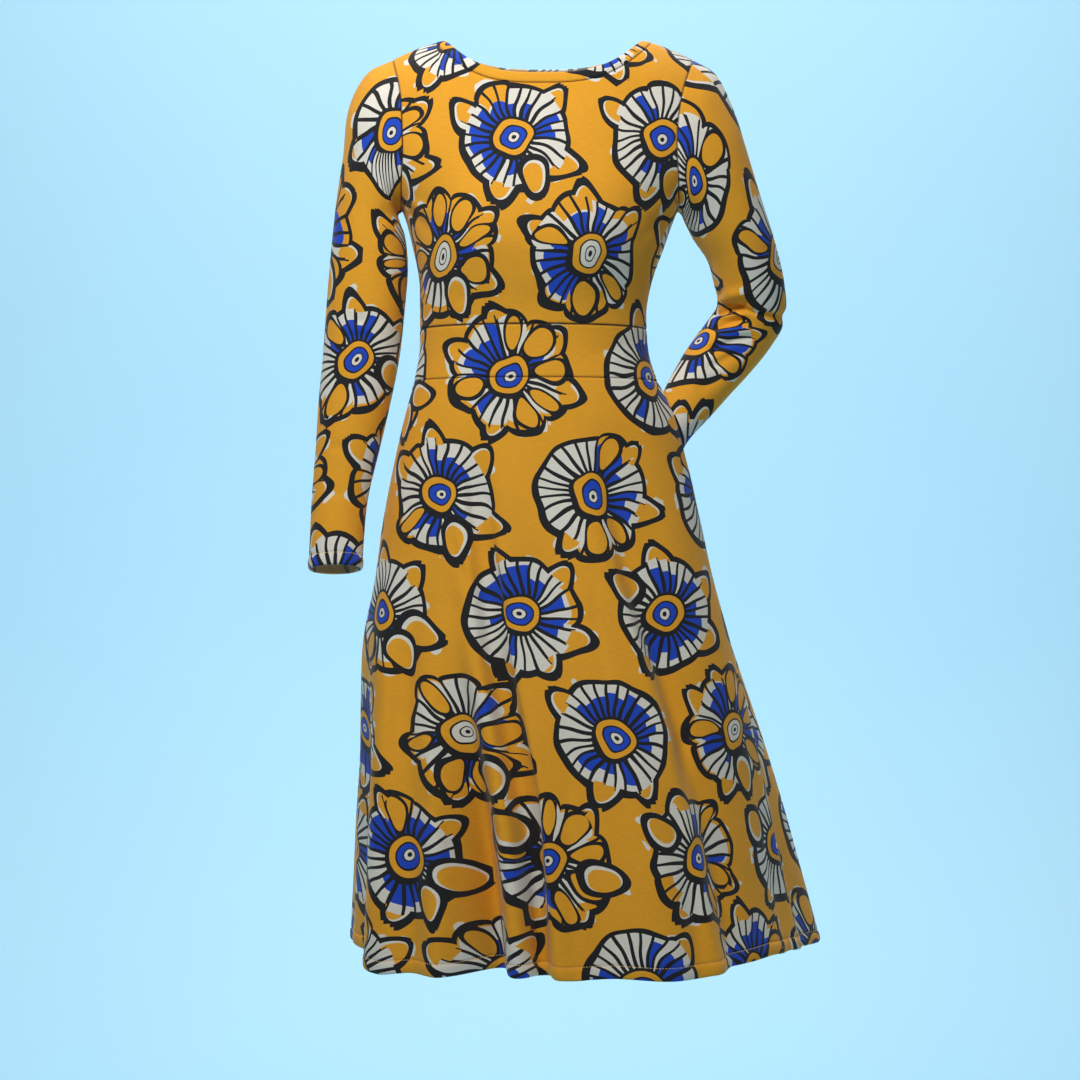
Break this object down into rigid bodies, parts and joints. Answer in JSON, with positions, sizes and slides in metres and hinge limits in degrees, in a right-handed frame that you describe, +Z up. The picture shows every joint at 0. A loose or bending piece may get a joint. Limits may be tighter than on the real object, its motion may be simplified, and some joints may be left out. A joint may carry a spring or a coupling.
{
  "type": "long-sleeved dress",
  "caption": "Knee-to-calf length fit-and-flare dress with long sleeves, a wide scoop neck, a waistband and a side seam pocket, hollow as worn.",
  "frame": {"origin": "midway between the two shoulder seams, where the shoulders carry the dress", "axes": "+Z up along the body, the front of the dress faces -Y, the wearer's left side is +X"},
  "size_m": [0.6171, 0.4586, 1.0989],
  "materials": {
    "bodice_front_cloth": "fine printed jersey, soft low sheen",
    "bodice_back_cloth": "fine printed jersey, soft low sheen",
    "neckband_cloth": "fine printed jersey, folded double",
    "waistband_front_cloth": "fine printed jersey, soft low sheen",
    "waistband_back_cloth": "fine printed jersey, soft low sheen",
    "skirt_front_cloth": "fine printed jersey, soft low sheen",
    "skirt_back_cloth": "fine printed jersey, soft low sheen",
    "sleeve_right_cloth": "fine printed jersey, soft low sheen",
    "sleeve_left_cloth": "fine printed jersey, soft low sheen",
    "pocket_bag_front_cloth": "fine printed jersey, soft low sheen",
    "pocket_bag_back_cloth": "fine printed jersey, soft low sheen"
  },
  "bodies": {
    "root": {"bodice_front": "bodice_front_cloth", "bodice_back": "bodice_back_cloth", "neckband": "neckband_cloth", "waistband_front": "waistband_front_cloth", "waistband_back": "waistband_back_cloth", "skirt_front": "skirt_front_cloth", "skirt_back": "skirt_back_cloth", "sleeve_right": "sleeve_right_cloth", "sleeve_left": "sleeve_left_cloth", "pocket_bag_front": "pocket_bag_front_cloth", "pocket_bag_back": "pocket_bag_back_cloth"}
  },
  "joints": []
}
